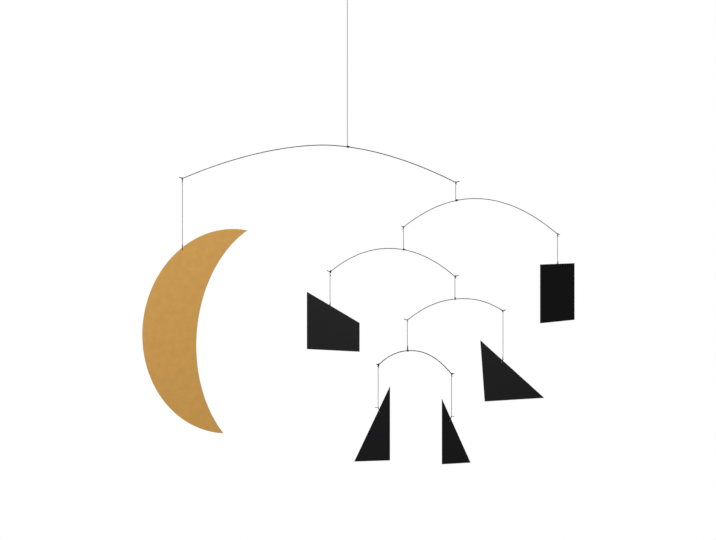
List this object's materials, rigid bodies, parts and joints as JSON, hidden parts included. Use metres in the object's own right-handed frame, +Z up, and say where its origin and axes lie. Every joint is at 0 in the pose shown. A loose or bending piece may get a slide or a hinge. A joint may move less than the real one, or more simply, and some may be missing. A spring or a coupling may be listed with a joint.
{
  "type": "hanging mobile sculpture",
  "caption": "hanging mobile: a cascade of bowed steel wires on threads, carrying a crescent moon, squares and triangles cut from card, all free to turn about their threads",
  "frame": {"origin": "inside top of the loop in the top thread, where a hook bears", "axes": "+Z up along the top thread, +X to the right along the wires (the square's side), -Y towards the viewer"},
  "size_m": [0.5672, 0.0542, 0.6228],
  "materials": {
    "steel_wire": "satin",
    "thread": "matte",
    "gold_card": "matte",
    "black_card": "matte"
  },
  "bodies": {
    "hanging_thread": {"top_arm_thread": "thread"},
    "top_arm": {"top_arm": "steel_wire", "top_arm_knot": "thread", "second_arm_thread": "thread", "moon_thread": "thread"},
    "second_arm": {"second_arm": "steel_wire", "second_arm_knot": "thread", "third_arm_thread": "thread", "square_thread": "thread"},
    "third_arm": {"third_arm": "steel_wire", "third_arm_knot": "thread", "fourth_arm_thread": "thread", "slant_topped_square_thread": "thread"},
    "fourth_arm": {"fourth_arm": "steel_wire", "fourth_arm_knot": "thread", "fifth_arm_thread": "thread", "large_triangle_thread": "thread"},
    "fifth_arm": {"fifth_arm": "steel_wire", "fifth_arm_knot": "thread", "left_triangle_thread": "thread", "right_triangle_thread": "thread"},
    "moon": {"moon": "gold_card", "moon_knot": "thread"},
    "square": {"square": "black_card", "square_knot": "thread"},
    "slant_topped_square": {"slant_topped_square": "black_card", "slant_topped_square_knot": "thread"},
    "large_triangle": {"large_triangle": "black_card", "large_triangle_knot": "thread"},
    "left_triangle": {"left_triangle": "black_card", "left_triangle_knot": "thread"},
    "right_triangle": {"right_triangle": "black_card", "right_triangle_knot": "thread"}
  },
  "joints": [
    {"name": "top_arm_turn", "type": "hinge", "parent": "hanging_thread", "child": "top_arm", "pos_m": [0, 0, -0.21], "axis": [0, 0, 1], "continuous": true},
    {"name": "second_arm_turn", "type": "hinge", "parent": "top_arm", "child": "second_arm", "pos_m": [0.14098, 0, -0.27998], "axis": [0, 0, 1], "continuous": true},
    {"name": "third_arm_turn", "type": "hinge", "parent": "second_arm", "child": "third_arm", "pos_m": [0.073, 0, -0.34378], "axis": [0, 0, 1], "continuous": true},
    {"name": "fourth_arm_turn", "type": "hinge", "parent": "third_arm", "child": "fourth_arm", "pos_m": [0.13998, 0, -0.40799], "axis": [0, 0, 1], "continuous": true},
    {"name": "fifth_arm_turn", "type": "hinge", "parent": "fourth_arm", "child": "fifth_arm", "pos_m": [0.078, 0, -0.47518], "axis": [0, 0, 1], "continuous": true},
    {"name": "moon_turn", "type": "hinge", "parent": "top_arm", "child": "moon", "pos_m": [-0.21447, 0, -0.33988], "axis": [0, 0, 1], "continuous": true},
    {"name": "square_turn", "type": "hinge", "parent": "second_arm", "child": "square", "pos_m": [0.27348, 0, -0.36135], "axis": [0, 0, 1], "continuous": true},
    {"name": "slant_topped_square_turn", "type": "hinge", "parent": "third_arm", "child": "slant_topped_square", "pos_m": [-0.02247, 0, -0.41548], "axis": [0, 0, 1], "continuous": true},
    {"name": "large_triangle_turn", "type": "hinge", "parent": "fourth_arm", "child": "large_triangle", "pos_m": [0.20246, 0, -0.48701], "axis": [0, 0, 1], "continuous": true},
    {"name": "left_triangle_turn", "type": "hinge", "parent": "fifth_arm", "child": "left_triangle", "pos_m": [0.04006, 0, -0.5521], "axis": [0, 0, 1], "continuous": true},
    {"name": "right_triangle_turn", "type": "hinge", "parent": "fifth_arm", "child": "right_triangle", "pos_m": [0.1355, 0, -0.56355], "axis": [0, 0, 1], "continuous": true}
  ]
}
